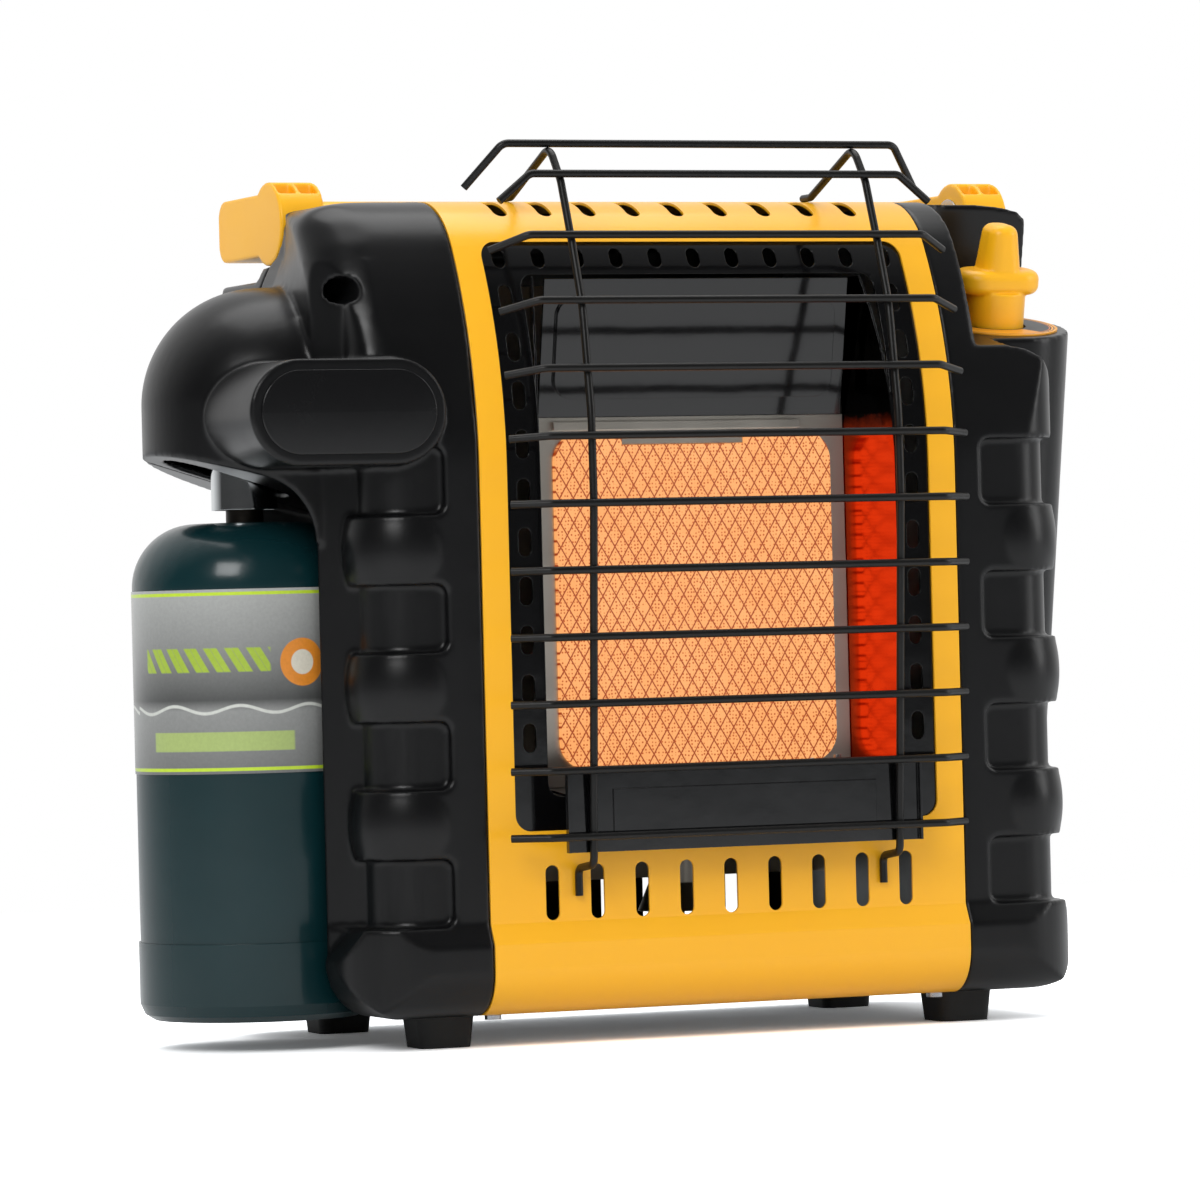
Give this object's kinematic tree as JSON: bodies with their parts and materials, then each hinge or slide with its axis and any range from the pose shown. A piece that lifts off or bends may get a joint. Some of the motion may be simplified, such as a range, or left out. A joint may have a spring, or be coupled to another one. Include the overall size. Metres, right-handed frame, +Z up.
{
  "type": "portable propane heater",
  "caption": "Portable radiant propane heater: ceramic burner behind a wire guard, swivelling regulator with a side gas cylinder, control knob and folding carrying handle.",
  "frame": {"origin": "on the floor, in the middle of the four feet", "axes": "+X to the right as the user faces the burner, +Y to the back, +Z up"},
  "size_m": [0.4194, 0.2218, 0.3791],
  "materials": {
    "yellow_enamel": "gloss",
    "moulded_black": "fine texture, satin sheen",
    "yellow_moulding": "satin",
    "black_enamel": "high gloss",
    "black_wire": "satin",
    "bright_steel": "bright",
    "galvanised_steel": "satin",
    "burner_ceramic": "matt, glowing orange in use",
    "spark_ceramic": "glazed",
    "fibre_gasket": "soft",
    "brass": "machined",
    "tube_metal": "drawn tube, satin",
    "cast_zinc": "die-cast",
    "chrome": "polished",
    "zinc_steel": "zinc-plated",
    "black_trim": "satin",
    "green_paint": "gloss",
    "printed_label": "printed, semi-gloss",
    "rubber": "matt"
  },
  "bodies": {
    "heater": {"back_panel": "black_enamel", "base_pan": "galvanised_steel", "burner_brackets": "bright_steel", "burner_plenum": "bright_steel", "burner_tile": "burner_ceramic", "burner_tube": "tube_metal", "dial_disc": "black_trim", "dial_ring": "yellow_moulding", "feet": "rubber", "foot_screws": "zinc_steel", "front_panel": "yellow_enamel", "front_swivel_bearing": "cast_zinc", "gas_valve": "brass", "guard_bars": "black_wire", "guard_plate": "black_enamel", "guard_rods": "black_wire", "handle_pins": "zinc_steel", "handle_washers": "zinc_steel", "heat_deflector": "black_enamel", "heat_shield": "bright_steel", "housing_screws": "zinc_steel", "inlet_tube": "tube_metal", "knob_spring": "zinc_steel", "left_front_housing": "moulded_black", "left_rear_housing": "moulded_black", "left_side_plate": "galvanised_steel", "mixing_tube": "bright_steel", "name_plate": "black_trim", "orifice": "brass", "orifice_bracket": "bright_steel", "panel_screws": "zinc_steel", "piezo_igniter": "black_trim", "pilot_bracket": "bright_steel", "pilot_burner": "brass", "pilot_tube": "tube_metal", "rack_bars": "black_wire", "right_front_housing": "moulded_black", "right_rear_housing": "moulded_black", "right_side_plate": "galvanised_steel", "spark_electrode": "spark_ceramic", "swivel_union": "cast_zinc", "thermocouple": "tube_metal", "tile_clip": "bright_steel", "tile_frame": "bright_steel", "tile_gasket": "fibre_gasket", "tip_switch": "black_trim", "valve_bonnet": "brass", "valve_bracket": "bright_steel", "window_frame": "black_enamel"},
    "handle": {"carrying_handle": "yellow_moulding"},
    "rotor": {"valve_rotor": "brass"},
    "knob": {"control_knob": "yellow_moulding", "valve_stem": "zinc_steel"},
    "regulator": {"regulator_body": "cast_zinc", "regulator_bonnet": "cast_zinc", "connector_nut": "chrome"},
    "cylinder": {"gas_cylinder": "green_paint", "cylinder_foot_ring": "green_paint", "cylinder_label": "printed_label", "cylinder_neck": "brass"}
  },
  "joints": [
    {"name": "handle_fold", "type": "hinge", "parent": "heater", "child": "handle", "pos_m": [0, 0.024, 0.3505], "axis": [1, 0, 0], "range_deg": [0, 95]},
    {"name": "knob_turn", "type": "hinge", "parent": "heater", "child": "rotor", "pos_m": [0.157, -0.04, 0.3015], "axis": [0, -0.2079, 0.9781], "range_deg": [0, 210]},
    {"name": "knob_push", "type": "slide", "parent": "rotor", "child": "knob", "axis": [0, 0.2079, -0.9781], "range_m": [0, 0.006], "stiffness_N_per_m": 300, "springref_m": -0.004},
    {"name": "regulator_swivel", "type": "hinge", "parent": "heater", "child": "regulator", "pos_m": [-0.1806, -0.005, 0.275], "axis": [0, 1, 0], "range_deg": [0, 25]},
    {"name": "cylinder_unscrew", "type": "slide", "parent": "regulator", "child": "cylinder", "axis": [0, 0, -1], "range_m": [0, 0.0095]}
  ]
}
